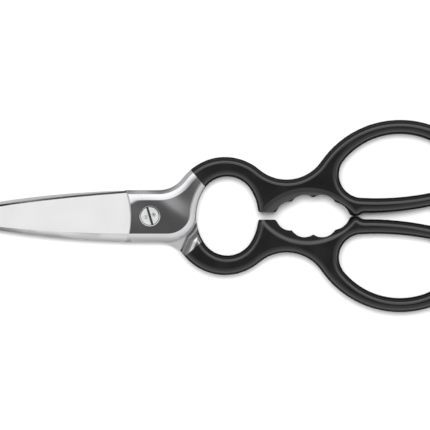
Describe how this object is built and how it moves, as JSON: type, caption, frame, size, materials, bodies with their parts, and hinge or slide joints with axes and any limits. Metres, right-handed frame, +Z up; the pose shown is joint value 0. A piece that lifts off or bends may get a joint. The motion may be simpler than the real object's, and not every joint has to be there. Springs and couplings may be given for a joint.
{
  "type": "kitchen shears",
  "caption": "Forged steel kitchen shears with coated looped handles, a toothed nutcracker jaw between them and a slotted pivot screw.",
  "frame": {"origin": "middle of the closed shears' box, on the surface that they lie on", "axes": "+X along the shears from the tips to the finger loops, +Y across them towards the front half's handle, +Z up to the screw's head"},
  "size_m": [0.21, 0.0778, 0.0087],
  "materials": {
    "forged_steel": "satin-ground blades, polished bolster",
    "polished_steel": "polished",
    "black_nylon": "semi-gloss"
  },
  "bodies": {
    "back_half": {"back_forging": "forged_steel", "back_grip_coat": "black_nylon", "pivot_screw": "polished_steel", "spring_washer": "polished_steel"},
    "front_half": {"front_forging": "forged_steel", "front_grip_coat": "black_nylon"}
  },
  "joints": [
    {"name": "blade_pivot", "type": "hinge", "parent": "back_half", "child": "front_half", "pos_m": [-0.02322, 0, 0.0037], "axis": [0, 0, 1], "range_deg": [0, 95]}
  ]
}
